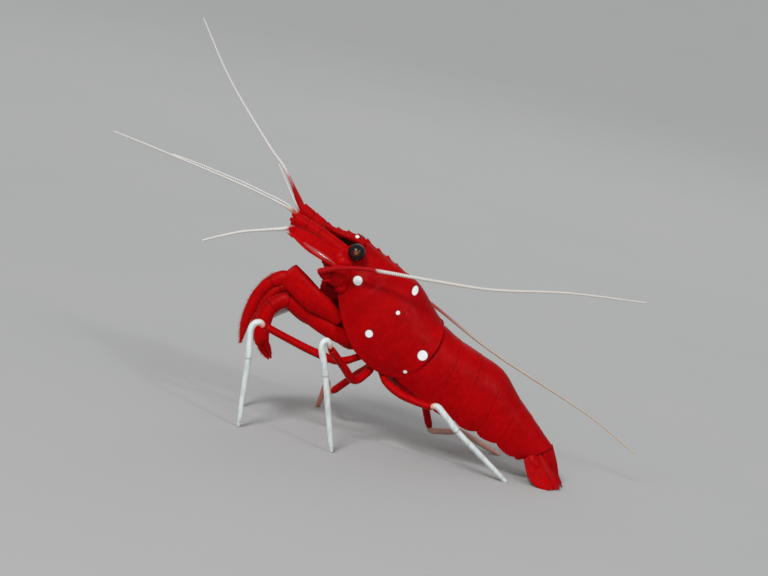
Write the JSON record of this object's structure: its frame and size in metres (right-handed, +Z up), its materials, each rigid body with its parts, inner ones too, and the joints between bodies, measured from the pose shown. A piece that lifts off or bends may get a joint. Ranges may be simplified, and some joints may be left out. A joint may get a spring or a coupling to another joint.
{
  "type": "fire cleaner shrimp model",
  "caption": "Life-size still model of a red fire cleaner shrimp with white spots and white legs, standing head up with its tail fan on the floor.",
  "frame": {"origin": "on the floor, under the middle of the whole animal with its feelers", "axes": "-X is where the head points, -Y is the animal's left side, +Z is up"},
  "size_m": [0.0726, 0.026, 0.0477],
  "materials": {
    "red_shell": "deep crimson shell with a soft wet gloss and white spots",
    "dark_shell": "darker red shell of the face and swimmerets, satin",
    "white_leg": "milky white lower legs, orange inside the knee, satin",
    "eye": "black domed eye, high gloss",
    "feeler": "greyish white ringed feelers, red at the root"
  },
  "bodies": {
    "root": {"antenna_L_a_feeler": "feeler", "antenna_L_b_feeler": "feeler", "antenna_R_a_feeler": "feeler", "antenna_R_b_feeler": "feeler", "antenna_base_L": "red_shell", "antenna_base_R": "red_shell", "antenna_scale_L": "red_shell", "antenna_scale_R": "red_shell", "antennule_L": "red_shell", "antennule_L_inner_feeler": "feeler", "antennule_L_outer_a_feeler": "feeler", "antennule_L_outer_b_feeler": "feeler", "antennule_R": "red_shell", "antennule_R_inner_feeler": "feeler", "antennule_R_outer_a_feeler": "feeler", "antennule_R_outer_b_feeler": "feeler", "carapace": "red_shell", "eye_L": "eye", "eye_R": "eye", "eyestalk_L": "red_shell", "eyestalk_R": "red_shell", "head": "dark_shell", "leg1_L": "red_shell", "leg1_R": "red_shell", "leg2_L": "red_shell", "leg2_R": "red_shell", "leg3_L_lower": "white_leg", "leg3_L_upper": "red_shell", "leg3_R_lower": "white_leg", "leg3_R_upper": "red_shell", "leg4_L_lower": "white_leg", "leg4_L_upper": "red_shell", "leg4_R_lower": "white_leg", "leg4_R_upper": "red_shell", "leg5_L_lower": "white_leg", "leg5_L_upper": "red_shell", "leg5_R_lower": "white_leg", "leg5_R_upper": "red_shell", "maxilliped_L": "red_shell", "maxilliped_R": "red_shell", "pleon_1": "red_shell", "pleon_2": "red_shell", "pleon_3": "red_shell", "pleon_4": "red_shell", "pleon_5": "red_shell", "pleon_6": "red_shell", "swimmeret_1_L": "dark_shell", "swimmeret_1_R": "dark_shell", "swimmeret_2_L": "dark_shell", "swimmeret_2_R": "dark_shell", "swimmeret_3_L": "dark_shell", "swimmeret_3_R": "dark_shell", "swimmeret_4_L": "dark_shell", "swimmeret_4_R": "dark_shell", "swimmeret_5_L": "dark_shell", "swimmeret_5_R": "dark_shell", "telson": "red_shell", "uropod_L": "red_shell", "uropod_R": "red_shell"}
  },
  "joints": []
}
